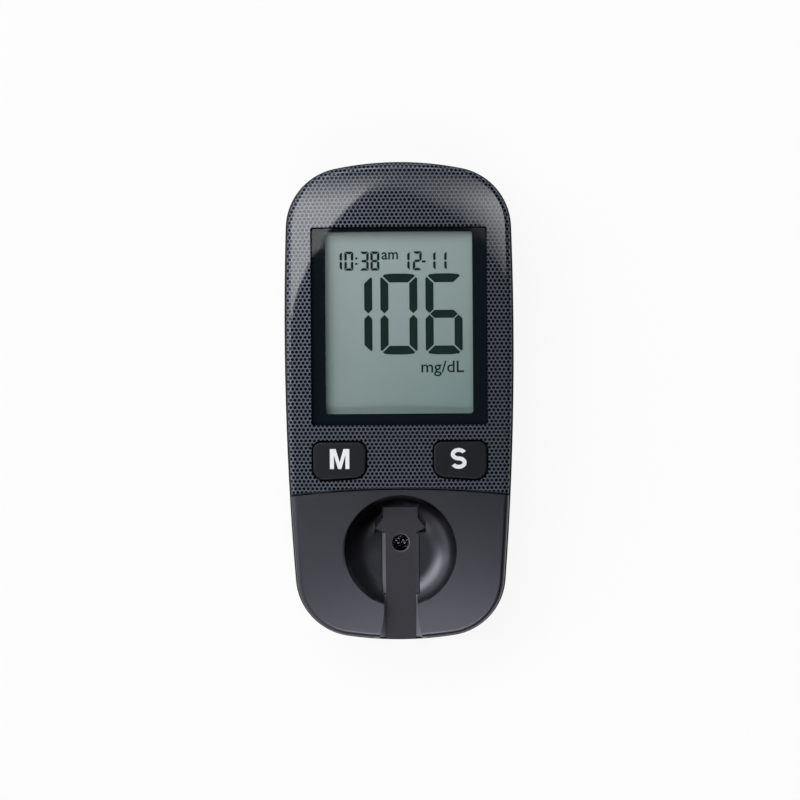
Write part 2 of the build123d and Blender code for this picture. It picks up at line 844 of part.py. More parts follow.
# Optics block: carries the guide over the board and screens the light path
with BuildPart() as optics_block:
    with BuildSketch(Plane.XY.offset(board_top)):
        block_side = guide_flange_half_width - optics_block_margin
        block_low_y = optics_block_setback - body_length / 2
        block_high_y = guide_flange_top_y - optics_block_margin
        add(plate_box(-block_side, block_side, block_low_y, block_high_y, guide_rise))
        with Locations((0, hole_y)):
            Circle(optics_window_radius, mode=Mode.SUBTRACT)
    extrude(amount=guide_foot - board_top)
    with BuildSketch(Plane.XY.offset(guide_foot)):
        with Locations((0, hole_y)):
            Circle(seal_radius + seat_gap)
    extrude(amount=-seal_wall, mode=Mode.SUBTRACT)
optics_block.part.label = "optics_block"
export_step(optics_block.part, "parts/optics_block.step")


# Light seal: a foam ring between the block and the guide
with BuildPart() as light_seal:
    with BuildSketch(Plane.XY.offset(guide_foot - seal_wall)):
        with Locations((0, hole_y)):
            Circle(seal_radius)
            Circle(seal_radius - seal_width, mode=Mode.SUBTRACT)
    extrude(amount=seal_wall)
light_seal.part.label = "light_seal"
export_step(light_seal.part, "parts/light_seal.step")


# Measuring lights and the sensor between them
with BuildPart() as measuring_leds:
    with BuildSketch(Plane.XY.offset(board_top)):
        with Locations((-led_pitch, hole_y), (led_pitch, hole_y)):
            Rectangle(led_width, smd_width)
    extrude(amount=diode_height)
measuring_leds.part.label = "measuring_leds"
export_step(measuring_leds.part, "parts/measuring_leds.step")

with BuildPart() as photodiode:
    with BuildSketch(Plane.XY.offset(board_top)):
        with Locations((0, hole_y)):
            Rectangle(diode_size, diode_size)
    extrude(amount=diode_height)
photodiode.part.label = "photodiode"
export_step(photodiode.part, "parts/photodiode.step")


def dish_scoop(floor_z, arc_radius):
    """A round scoop: flat in the middle, then curving up to an upright wall."""
    wall_x = dish_floor_radius + arc_radius
    top_z = 2 * body_height
    with BuildPart() as scoop:
        with BuildSketch(Plane.XZ.offset(-dish_y)):
            with BuildLine():
                Line((0, floor_z), (dish_floor_radius, floor_z))
                CenterArc((dish_floor_radius, floor_z + arc_radius), arc_radius, -90, 90)
                Polyline((wall_x, floor_z + arc_radius), (wall_x, top_z), (0, top_z), (0, floor_z))
            make_face()
        revolve(axis=Axis((0, dish_y, 0), (0, 0, 1)))
    return scoop.part


# Slot for the test strip: straight beside the dish, then flaring out to the end
with BuildPart() as slot_way:
    slot_mouth_y = -body_length / 2
    slot_end_y = slot_mouth_y - plate_wall
    for level, mouth in ((skin_foot, slot_foot_half_width), (body_height, slot_mouth_half_width)):
        with BuildSketch(Plane.XY.offset(level)):
            with BuildLine():
                Polyline((0, rail_end_y), (slot_half_width, rail_end_y), (slot_half_width, slot_flare_y))
                TangentArc((slot_half_width, slot_flare_y), (mouth, slot_mouth_y), tangent=(0, -1))
                Polyline((mouth, slot_mouth_y), (mouth, slot_end_y), (0, slot_end_y))
                mirror(about=Plane.YZ)
            make_face()
    loft(ruled=True)

# What stands inside the skin: the dish's wall and the sides of the slot
with BuildPart() as cover_core:
    add(dish_scoop(dish_under, dish_arc_radius + dish_wall))
    with BuildSketch(Plane.XY.offset(dish_under)):
        slot_block = slot_mouth_half_width + plate_wall
        add(plate_box(-slot_block, slot_block, -body_length / 2, dish_y))
    extrude(amount=body_height)
    add(skin_block, mode=Mode.INTERSECT)

# Two tongues that hook under the edge of the face plate, and their roots
with BuildPart() as tongue_roots:
    with BuildSketch():
        for side in (-1, 1):
            tongue_side = side * tongue_x - tongue_width / 2
            root_front = seam_y - tongue_setback
            add(plate_box(tongue_side, tongue_side + tongue_width, seam_y - tongue_root, root_front))
    extrude(amount=2 * body_height)
    add(under_crown(plate_wall / 2), mode=Mode.INTERSECT)
    add(under_crown(plate_wall + tongue_gap + tongue_wall), mode=Mode.SUBTRACT)
with BuildPart() as tongue_tips:
    with BuildSketch():
        for side in (-1, 1):
            tongue_side = side * tongue_x - tongue_width / 2
            tip = seam_y + tongue_reach
            add(plate_box(tongue_side, tongue_side + tongue_width, seam_y - tongue_root, tip))
    extrude(amount=2 * body_height)
    add(under_crown(plate_wall + tongue_gap), mode=Mode.INTERSECT)
    add(under_crown(plate_wall + tongue_gap + tongue_wall), mode=Mode.SUBTRACT)

# Optics cover: the lower skin, with a scooped dish and a flared slot for the test strip
with BuildPart() as optics_cover:
    add(skin_block)
    add(skin_core, mode=Mode.SUBTRACT)
    add(under_crown(rim_drop - seat_gap), mode=Mode.SUBTRACT)
    add(cover_core.part)
    with BuildSketch():
        with Locations((0, seam_y - seam_radius)):
            Circle(seam_radius - seam_gap / 2)
    extrude(amount=2 * body_height, mode=Mode.INTERSECT)
    add(dish_scoop(dish_floor, dish_arc_radius), mode=Mode.SUBTRACT)
    add(slot_way.part, mode=Mode.SUBTRACT)
    # throat round the head of the guide, with room for the cover to swing, and the way for the rails
    with BuildSketch():
        throat_spur_x = guide_spur_half_width + guide_gap
        throat_neck_x = guide_head_half_width + throat_side_gap
        with BuildLine():
            Polyline(
                (0, guide_spur_end_y),
                (throat_spur_x, guide_spur_end_y),
                (throat_spur_x, guide_spur_y + throat_swing),
                (throat_neck_x, guide_neck_y + throat_swing),
                (throat_neck_x, throat_top_y),
                (0, throat_top_y),
            )
            mirror(about=Plane.YZ)
        make_face()
        with Locations((0, dish_y)):
            Circle(throat_radius, mode=Mode.INTERSECT)
        rail = guide_half_width + guide_rise + guide_gap
        add(plate_box(-rail, rail, rail_end_y - guide_gap, guide_spur_end_y))
    extrude(amount=2 * body_height, mode=Mode.SUBTRACT)
    add(tongue_roots.part)
    add(tongue_tips.part)
optics_cover.part.label = "optics_cover"
export_step(optics_cover.part, "parts/optics_cover.step")


# Coin cell: a wide can with a smaller cap on its inner side
with BuildPart() as battery_cell:
    with BuildSketch(Plane.XY.offset(battery_z)):
        with Locations((0, battery_y)):
            Circle(battery_radius)
    extrude(amount=battery_height - battery_cap_height)
    chamfer(battery_cell.edges(), battery_cap_height / 2)
    with BuildSketch(Plane.XY.offset(battery_z + battery_height - battery_cap_height)):
        with Locations((0, battery_y)):
            Circle(battery_cap_radius)
    extrude(amount=battery_cap_height)
    chamfer(battery_cell.faces().sort_by(Axis.Z)[-1].edges(), battery_cap_height / 3)
battery_cell.part.label = "battery_cell"
export_step(battery_cell.part, "parts/battery_cell.step")


# Battery contacts: a leaf against the rim and a sprung leaf on the cap
with BuildPart() as battery_contact_plus:
    with BuildSketch(Plane.XY.offset(battery_z + contact_lift)):
        with Locations((battery_radius + contact_gap + contact_wall / 2, battery_y)):
            Rectangle(contact_wall, contact_width)
    extrude(amount=board_z - battery_z - contact_lift)
battery_contact_plus.part.label = "battery_contact_plus"
export_step(battery_contact_plus.part, "parts/battery_contact_plus.step")

with BuildPart() as battery_contact_minus:
    leaf_top_z = well_ceiling_z - contact_wall
    leaf_low_z = battery_z + battery_height + contact_gap + contact_wall / 2
    with BuildSketch(Plane.XZ.offset(-battery_y - contact_width / 2)):
        with BuildLine():
            Polyline(
                (contact_leg_x, board_z),
                (contact_leg_x, leaf_top_z),
                (contact_leg_x / 2, leaf_top_z),
                (0, leaf_low_z),
                (-contact_leg_x / 4, leaf_top_z),
            )
        trace(line_width=contact_wall)
    extrude(amount=contact_width)
    board_face = Plane.XY.offset(board_z)
    split(bisect_by=board_face, keep=Keep.BOTTOM)
battery_contact_minus.part.label = "battery_contact_minus"
export_step(battery_contact_minus.part, "parts/battery_contact_minus.step")


# Battery door: hooked at its lower end, with a latch and a nail notch at the other
with BuildPart() as battery_door:
    with BuildSketch(Plane.XY.offset(door_recess)):
        with Locations((0, battery_y)):
            RectangleRounded(door_width, door_length, door_corner)
    extrude(amount=door_wall)
    with BuildSketch(Plane.XY.offset(door_inner_z)):
        with Locations((-door_hook_x, door_bottom_y), (door_hook_x, door_bottom_y)):
            Rectangle(door_hook_width, door_hook_neck, align=(Align.CENTER, Align.MIN))
    extrude(amount=hook_top_z - door_inner_z)
    with BuildSketch(Plane.XY.offset(hook_top_z)):
        with Locations((-door_hook_x, door_bottom_y), (door_hook_x, door_bottom_y)):
            Rectangle(door_hook_width, 2 * door_hook_reach)
    extrude(amount=-door_hook_wall)
    with BuildSketch(Plane.XY.offset(door_inner_z)):
        with Locations((0, door_top_y - door_gap)):
            Rectangle(door_latch_width, door_latch_wall, align=(Align.CENTER, Align.MAX))
    extrude(amount=door_latch_height)
    with BuildSketch(Plane.YZ.offset(-nail_notch_width / 2)):
        with Locations((door_top_y, nail_notch_depth - nail_notch_radius)):
            Circle(nail_notch_radius)
    extrude(amount=nail_notch_width, mode=Mode.SUBTRACT)
    with BuildSketch(Plane.XY.offset(door_recess)):
        with Locations((0, battery_y)):
            with GridLocations(0, grip_rib_pitch, 1, grip_rib_count):
                SlotOverall(grip_rib_length, grip_rib_pitch / 2)
    extrude(amount=grip_rib_depth, mode=Mode.SUBTRACT)
battery_door.part.label = "battery_door"
export_step(battery_door.part, "parts/battery_door.step")
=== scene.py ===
import math

import bmesh
import bpy
from mathutils import Matrix, Vector


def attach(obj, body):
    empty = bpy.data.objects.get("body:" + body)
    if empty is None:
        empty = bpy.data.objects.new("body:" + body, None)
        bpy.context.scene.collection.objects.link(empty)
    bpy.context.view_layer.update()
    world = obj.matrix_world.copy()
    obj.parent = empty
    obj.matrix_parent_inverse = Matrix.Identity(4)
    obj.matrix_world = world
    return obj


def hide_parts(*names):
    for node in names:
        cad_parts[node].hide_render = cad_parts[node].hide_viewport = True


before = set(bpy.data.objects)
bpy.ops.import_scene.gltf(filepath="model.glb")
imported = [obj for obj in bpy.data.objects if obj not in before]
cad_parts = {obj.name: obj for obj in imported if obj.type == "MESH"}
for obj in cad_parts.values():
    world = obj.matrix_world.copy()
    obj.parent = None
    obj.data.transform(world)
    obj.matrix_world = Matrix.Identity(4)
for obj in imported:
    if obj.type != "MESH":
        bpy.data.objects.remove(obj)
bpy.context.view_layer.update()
mm = 0.001
white = (1.0, 1.0, 1.0, 1.0)

# the crown of the meter, in millimetres: one long arc down its length, turned about a line under it
crown = {"height": 19.1, "crestY": 13.0, "longRadius": 450.0, "crossRadius": 180.0}


def crownHeight(x, y, above=0.0):
    cross = math.sqrt((crown["longRadius"] + above) ** 2 - (y - crown["crestY"]) ** 2)
    cross += crown["crossRadius"] - crown["longRadius"]
    return crown["height"] - crown["crossRadius"] + math.sqrt(cross**2 - x**2)


class Wire:  # an output socket: arithmetic on it adds Math nodes
    def __init__(self, tree, socket):
        self.tree = tree
        self.socket = socket

    def calc(self, operation, *others):
        values = dict(enumerate((self,) + others))
        return self.tree.node("ShaderNodeMath", {"operation": operation}, values)

    def under(self, other, operation):  # the same with this wire as the second value
        return self.tree.node("ShaderNodeMath", {"operation": operation}, {0: other, 1: self})

    def __add__(self, other):
        return self.calc("ADD", other)

    def __sub__(self, other):
        return self.calc("SUBTRACT", other)

    def __rsub__(self, other):
        return self.under(other, "SUBTRACT")

    def __mul__(self, other):
        return self.calc("MULTIPLY", other)

    def __truediv__(self, other):
        return self.calc("DIVIDE", other)

    def __rtruediv__(self, other):
        return self.under(other, "DIVIDE")

    __radd__ = __add__
    __rmul__ = __mul__

    def clamped(self):
        return self.calc("MINIMUM", 1.0).calc("MAXIMUM", 0.0)


class Tree:  # adds nodes to one node tree
    def __init__(self, nodeTree):
        self.nodes = nodeTree.nodes
        self.links = nodeTree.links
        self.nodes.clear()

    def node(self, kind, settings=None, inputs=None, output=0):
        made = self.nodes.new(kind)
        for name, value in (settings or {}).items():
            setattr(made, name, value)
        for key, value in (inputs or {}).items():
            if isinstance(value, Wire):
                self.links.new(value.socket, made.inputs[key])
            elif isinstance(value, list):
                for wire in value:
                    self.links.new(wire.socket, made.inputs[key])
            else:
                made.inputs[key].default_value = value
        return Wire(self, made.outputs[output]) if made.outputs else None

    def place(self, output="Object"):
        return self.node("ShaderNodeTexCoord", output=output)

    def part(self, vector, axis):
        return self.node("ShaderNodeSeparateXYZ", inputs={"Vector": vector}, output=axis)

    def facing(self):  # 1 on a level top, 0 on an upright wall
        return self.part(self.place("Normal"), "Z")

    def mix(self, share, first, second):
        return self.node("ShaderNodeMix", {"data_type": "RGBA"}, {0: share, 6: first, 7: second}, 2)

    def noise(self, vector, perMetre, detail=3.0, roughness=0.55):
        values = {"Vector": vector, "Scale": perMetre, "Detail": detail, "Roughness": roughness}
        return self.node("ShaderNodeTexNoise", inputs=values)

    def bump(self, height, depth, strength=1.0):
        return self.node("ShaderNodeBump", inputs={"Height": height, "Distance": depth, "Strength": strength})


def rgb(red, green, blue):  # a colour as it shows on a screen, 0 to 255, made linear
    linear = [((v / 255 + 0.055) / 1.055) ** 2.4 if v > 10 else v / 255 / 12.92 for v in (red, green, blue)]
    return (*linear, 1.0)


def emptyMaterial(name):
    material = bpy.data.materials.new(name)
    material.use_nodes = True
    return material, Tree(material.node_tree)


def makeMaterial(name, build):  # build gives the inputs of the shader
    material, tree = emptyMaterial(name)
    shader = tree.node("ShaderNodeBsdfPrincipled", inputs=build(tree))
    tree.node("ShaderNodeOutputMaterial", inputs={"Surface": shader})
    return material


print("stage: materials")
# the print under the clear front skin: rows of round dots on a metallic ground
dotPrint = {
    "pitch": 0.867,
    "rowPitch": 0.75,
    "dotRadius": 0.322,
    "dotEdge": 0.08,
    "groundDark": rgb(94, 100, 112),
    "groundLight": rgb(110, 117, 131),
    "dot": rgb(2, 2, 5),
    "bare": rgb(44, 46, 52),
    "bareBelow": 0.45,
    "fade": 20.0,
    "coatBelow": 0.9815,
    "coatFade": 200.0,
    "rimCoat": 0.15,
    "seamY": -17.8,
    "seamRadius": 187.0,
    "seamBorder": 0.35,
    "metal": 0.6,
    "speckle": 9000.0,
    "roughness": 0.34,
    "speckleRoughness": 0.12,
    "coatRoughness": 0.03,
    "coatIor": 1.85,
}


def frontSkin(tree):  # dots under a clear coat, bare along the seam and on the rolled edge
    place = tree.place()
    x = tree.part(place, "X") / mm
    y = tree.part(place, "Y") / mm
    row = y / dotPrint["rowPitch"]
    shift = row.calc("FLOOR").calc("PINGPONG", 1.0) * 0.5
    across = ((x / dotPrint["pitch"] + shift).calc("FRACT") - 0.5) * dotPrint["pitch"]
    along = (row.calc("FRACT") - 0.5) * dotPrint["rowPitch"]
    distance = (across * across + along * along).calc("SQRT")
    dot = ((dotPrint["dotRadius"] - distance) / dotPrint["dotEdge"] + 0.5).clamped()
    fromArc = y + (dotPrint["seamRadius"] - dotPrint["seamY"])
    seamGap = (x * x + fromArc * fromArc).calc("SQRT") - dotPrint["seamRadius"]
    facing = tree.facing()
    printed = ((facing - dotPrint["bareBelow"]) * dotPrint["fade"]).clamped()
    printed = printed * ((seamGap - dotPrint["seamBorder"]) * dotPrint["fade"]).clamped()
    speckle = tree.noise(place, dotPrint["speckle"], 2.0)
    ground = tree.mix(speckle, dotPrint["groundDark"], dotPrint["groundLight"])
    colour = tree.mix(dot, ground, dotPrint["dot"])
    flat = ((facing - dotPrint["coatBelow"]) * dotPrint["coatFade"]).clamped()
    return {
        "Base Color": tree.mix(printed, dotPrint["bare"], colour),
        "Metallic": (1.0 - dot) * printed * dotPrint["metal"],
        "Roughness": dotPrint["roughness"] + speckle * dotPrint["speckleRoughness"],
        "Coat Weight": flat * (1.0 - dotPrint["rimCoat"]) + dotPrint["rimCoat"],
        "Coat Roughness": dotPrint["coatRoughness"],
        "Coat IOR": dotPrint["coatIor"],
        "Specular IOR Level": 0.0,
    }


# the lacquer of the cover: its tones, a painted shade on its slopes, a painted shadow in the dish's top and
# upper left, and where its dish and slot lie in millimetres
coverFinish = {
    "dark": rgb(82, 83, 90),
    "light": rgb(94, 95, 103),
    # painted shade: the tone that slopes and the rolled border darken to, with less of it low in the dish
    "turned": rgb(60, 60, 67),
    "turnFrom": 0.96,
    "turnOver": 0.32,
    "dishY": -30.9,
    "dishRadius": 12.0,
    "dishBorder": 4.0,
    "openEnd": -39.0,
    "openOver": 8.0,
    # painted shadow: the tone that the dish darkens to towards its top and upper left
    "shade": rgb(10, 10, 14),
    "shadeTurn": 0.45,
    "shadeRise": 0.13,
    "shadeFrom": 0.25,
    "bare": rgb(150, 150, 160),
    "steep": 0.6,
    "steepFade": 8.0,
    "slotHalfWidth": 5.4,
    "slotFrom": -38.3,
    "slotBorder": 5.0,
    "flakes": 14000.0,
    "flakeRoughness": 0.12,
    "flakeDepth": 0.000004,
    "drift": 60.0,
    "driftRoughness": 0.05,
    "roughness": 0.25,
    "coat": 0.1,
    "coatRoughness": 0.2,
}


def coverSkin(tree):  # metallic, with a painted shade where it slopes and a painted shadow over the dish's top and upper left, bare on the slot's walls
    finish = coverFinish
    place = tree.place()
    x = tree.part(place, "X") / mm
    y = tree.part(place, "Y") / mm
    facing = tree.facing()
    flakes = tree.noise(place, finish["flakes"], 2.0, 0.7)
    drift = tree.noise(place, finish["drift"], 2.0)
    # painted shade on slopes and on the rolled border, taken off low in the dish below
    turned = ((finish["turnFrom"] - facing) / finish["turnOver"]).clamped()
    fromDish = y - finish["dishY"]
    reach = (x * x + fromDish * fromDish).calc("SQRT")
    inDish = ((finish["dishRadius"] - reach) * finish["dishBorder"]).clamped()
    opening = 1.0 - ((y - finish["openEnd"]) / finish["openOver"]).clamped()
    turned = turned * (1.0 - inDish * opening)
    bare = ((finish["steep"] - facing) * finish["steepFade"]).clamped()
    bare = bare * ((finish["slotHalfWidth"] - x.calc("ABSOLUTE")) * finish["slotBorder"]).clamped()
    bare = bare * ((finish["slotFrom"] - y) * finish["slotBorder"]).clamped()
    # painted shadow in the dish, darkest at its top and upper left
    shade = (fromDish - x * finish["shadeTurn"]) * finish["shadeRise"] - finish["shadeFrom"]
    lacquerWithShade = tree.mix(flakes, finish["dark"], finish["light"])
    lacquerWithShade = tree.mix(turned, lacquerWithShade, finish["turned"])
    lacquerWithShade = tree.mix(shade.clamped() * inDish, lacquerWithShade, finish["shade"])
    roughness = finish["roughness"] + flakes * finish["flakeRoughness"] + drift * finish["driftRoughness"]
    return {
        "Base Color": tree.mix(bare, lacquerWithShade, finish["bare"]),
        "Metallic": 1.0 - bare,
        "Roughness": roughness,
        "Coat Weight": finish["coat"],
        "Coat Roughness": finish["coatRoughness"],
        "Normal": tree.bump(flakes, finish["flakeDepth"], 0.5),
    }


# grain that all moulded pieces share: broad patches per metre, and what each grain adds
mould = {
    "broad": 45.0,
    "fineShare": 0.6,
    "broadShare": 0.4,
    "fineRoughness": 0.06,
    "broadRoughness": 0.08,
    "coatRoughness": 0.12,
}


# moulded plastic: two tones, roughness, grain per metre and the grain's depth
def plastic(name, dark, light, roughness, grain, depth, coat=0.0, shine=0.5):
    def build(tree):
        place = tree.place()
        fine = tree.noise(place, grain, 3.0, 0.6)
        broad = tree.noise(place, mould["broad"], 3.0)
        share = (fine * mould["fineShare"] + broad * mould["broadShare"]).clamped()
        return {
            "Base Color": tree.mix(share, dark, light),
            "Roughness": roughness + broad * mould["broadRoughness"] + fine * mould["fineRoughness"],
            "Specular IOR Level": shine,
            "Coat Weight": coat,
            "Coat Roughness": mould["coatRoughness"],
            "Normal": tree.bump(fine, depth, 0.6),
        }

    return makeMaterial(name, build)


guideFinish = {
    "flat": rgb(58, 58, 65),
    # painted highlight: the paler tone of the sloping rail faces
    "slope": rgb(134, 134, 143),
    "level": 0.95,
    "fade": 8.0,
    "railHighlightShare": 0.9,
    "grainShare": 0.1,
    "grain": 6000.0,
    "grainRoughness": 0.1,
    "grainDepth": 0.000006,
    "roughness": 0.36,
    "metal": 0.5,
}


def guideSkin(tree):  # satin, with a painted highlight where the rails slope
    finish = guideFinish
    grain = tree.noise(tree.place(), finish["grain"])
    # painted highlight, strongest where the rails slope
    slope = ((finish["level"] - tree.facing()) * finish["fade"]).clamped()
    share = slope * finish["railHighlightShare"] + grain * finish["grainShare"]
    return {
        "Base Color": tree.mix(share, finish["flat"], finish["slope"]),
        "Metallic": finish["metal"],
        "Roughness": finish["roughness"] + grain * finish["grainRoughness"],
        "Normal": tree.bump(grain, finish["grainDepth"], 0.6),
    }


# painted light: paler towards the upper left, where the light falls from: change of tone per millimetre from
# the middle, and its unevenness
displayFinish = {
    "light": rgb(170, 183, 182),
    "dark": rgb(127, 149, 147),
    "middleY": 16.0,
    "middleShare": 0.48,
    "perX": -0.016,
    "perY": 0.0185,
    "cloud": 40.0,
    "cloudShare": 0.15,
    "sparkle": 7000.0,
    "sparkleShare": 0.1,
    "roughness": 0.34,
    "unevenRoughness": 0.06,
    "shine": 0.2,
}


def displayGlass(tree):
    finish = displayFinish
    place = tree.place()
    across = tree.part(place, "X") / mm * finish["perX"]
    along = (tree.part(place, "Y") / mm - finish["middleY"]) * finish["perY"]
    cloud = tree.noise(place, finish["cloud"], 2.0)
    sparkle = tree.noise(place, finish["sparkle"], 2.0)
    uneven = cloud * finish["cloudShare"] + sparkle * finish["sparkleShare"]
    # painted light paler towards the upper left, plus random unevenness
    share = (across + along + finish["middleShare"] + uneven).clamped()
    return {
        "Base Color": tree.mix(share, finish["dark"], finish["light"]),
        "Roughness": finish["roughness"] + (cloud + sparkle) * finish["unevenRoughness"],
        "Specular IOR Level": finish["shine"],
    }


# what all metals share: dull patches per metre and their tone, and what the brush marks add
brushing = {"dull": 120.0, "darker": 0.72, "roughness": 0.18, "depth": 0.00001}


def metal(name, colour, roughness, stretch=(1.0, 1.0, 1.0), grain=3000.0):  # brushed across the stretch
    def build(tree):
        place = tree.node("ShaderNodeMapping", inputs={"Vector": tree.place(), "Scale": stretch})
        brush = tree.noise(place, grain, 3.0, 0.6)
        dull = tree.noise(tree.place(), brushing["dull"], 2.0)
        darker = tuple(c * brushing["darker"] for c in colour[:3]) + (1.0,)
        return {
            "Base Color": tree.mix(dull, colour, darker),
            "Metallic": 1.0,
            "Roughness": roughness + brush * brushing["roughness"],
            "Normal": tree.bump(brush, brushing["depth"], 0.4),
        }

    return makeMaterial(name, build)


foamFinish = {
    "dark": rgb(30, 30, 31),
    "light": rgb(58, 58, 60),
    "cells": 4200.0,
    "depth": 0.00006,
    "roughness": 0.92,
}


def foam(tree):
    cells = tree.node("ShaderNodeTexVoronoi", inputs={"Vector": tree.place(), "Scale": foamFinish["cells"]})
    return {
        "Base Color": tree.mix(cells, foamFinish["dark"], foamFinish["light"]),
        "Roughness": foamFinish["roughness"],
        "Normal": tree.bump(cells, foamFinish["depth"]),
    }


siliconeFinish = {
    "dark": rgb(196, 198, 200),
    "light": rgb(222, 223, 224),
    "haze": 900.0,
    "hazeRoughness": 0.1,
    "hazeDepth": 0.00001,
    "roughness": 0.42,
    "cloudy": 0.2,
}


def silicone(tree):
    finish = siliconeFinish
    haze = tree.noise(tree.place(), finish["haze"], 3.0)
    return {
        "Base Color": tree.mix(haze, finish["dark"], finish["light"]),
        "Roughness": finish["roughness"] + haze * finish["hazeRoughness"],
        "Subsurface Weight": finish["cloudy"],
        "Normal": tree.bump(haze, finish["hazeDepth"]),
    }


stripeFinish = {
    "perMetre": 9000.0,
    "border": 4.0,
    "narrowing": 1.5,
    "rubber": rgb(36, 36, 38),
    "layer": rgb(196, 188, 178),
    "roughness": 0.7,
    "layerRoughness": 0.1,
}


def contactStripes(tree):  # thin conducting layers between insulating rubber
    finish = stripeFinish
    wave = (tree.part(tree.place(), "X") * finish["perMetre"]).calc("PINGPONG", 1.0)
    stripe = (wave * finish["border"] - finish["narrowing"]).clamped()
    return {
        "Base Color": tree.mix(stripe, finish["rubber"], finish["layer"]),
        "Roughness": finish["roughness"] + stripe * finish["layerRoughness"],
    }


boardFinish = {
    "mask": rgb(5, 30, 17),
    "track": rgb(18, 66, 36),
    "cells": 550.0,
    "scatter": 0.35,
    "trackFrom": 0.28,
    "trackTo": 0.42,
    "trackBorder": 30.0,
    "trackDepth": 0.00003,
    "weave": 2600.0,
    "weaveRoughness": 0.16,
    "roughness": 0.34,
    "coat": 0.4,
}


def circuitBoard(tree):  # solder mask over a maze of tracks
    finish = boardFinish
    place = tree.place()
    values = {"Vector": place, "Scale": finish["cells"], "Randomness": finish["scatter"]}
    cells = tree.node("ShaderNodeTexVoronoi", {"distance": "CHEBYCHEV"}, values)
    track = ((cells - finish["trackFrom"]) * finish["trackBorder"]).clamped()
    track = track * ((finish["trackTo"] - cells) * finish["trackBorder"]).clamped()
    weave = tree.noise(place, finish["weave"], 2.0)
    return {
        "Base Color": tree.mix(track, finish["mask"], finish["track"]),
        "Roughness": finish["roughness"] + weave * finish["weaveRoughness"],
        "Coat Weight": finish["coat"],
        "Normal": tree.bump(track, finish["trackDepth"], 0.7),
    }


# what both panes share: smears and ripples per metre, and how sharply the shine ends per millimetre
pane = {"ior": 1.49, "smear": 90.0, "smearShare": 0.12, "ripples": 1100.0, "border": 20.0}


# sees through, and shines on its outer side, inside a box of x and y in millimetres
def clearPane(name, roughness, tint, ripple, shineBox):
    material, tree = emptyMaterial(name)
    place = tree.place()
    smear = tree.noise(place, pane["smear"], 4.0)
    through = tree.node("ShaderNodeBsdfTransparent", inputs={"Color": tint})
    wave = tree.bump(tree.noise(place, pane["ripples"], 1.0), ripple)
    gloss = {"Color": white, "Roughness": roughness, "Normal": wave}
    shine = tree.node("ShaderNodeBsdfGlossy", inputs=gloss)
    share = tree.node("ShaderNodeFresnel", inputs={"IOR": pane["ior"]}) * (1.0 - smear * pane["smearShare"])
    share = share * (1.0 - tree.node("ShaderNodeNewGeometry", output="Backfacing"))
    for axis, low, high in (("X", shineBox[0], shineBox[2]), ("Y", shineBox[1], shineBox[3])):
        along = tree.part(place, axis) / mm
        share = share * ((along - low) * pane["border"]).clamped()
        share = share * ((high - along) * pane["border"]).clamped()
    both = tree.node("ShaderNodeMixShader", inputs={0: share, 1: through, 2: shine})
    tree.node("ShaderNodeOutputMaterial", inputs={"Surface": both})
    return material


# what all inks share: patches of a thicker film per metre, and how much lighter they are
ink = {
    "film": 2500.0,
    "lighter": 1.2,
    "lift": 0.002,
    "filmRoughness": 0.1,
    "shine": 0.05,
    "coatRoughness": 0.03,
}


# opaque ink with a slightly uneven film, glossy where it lies behind a clear sheet
def printInk(name, colour, roughness, gloss=0.0):
    def build(tree):
        layer = tree.noise(tree.place(), ink["film"], 3.0)
        lighter = tuple(min(1.0, c * ink["lighter"] + ink["lift"]) for c in colour[:3]) + (1.0,)
        return {
            "Base Color": tree.mix(layer, colour, lighter),
            "Roughness": roughness + layer * ink["filmRoughness"],
            "Specular IOR Level": ink["shine"],
            "Coat Weight": gloss,
            "Coat Roughness": ink["coatRoughness"],
        }

    return makeMaterial(name, build)


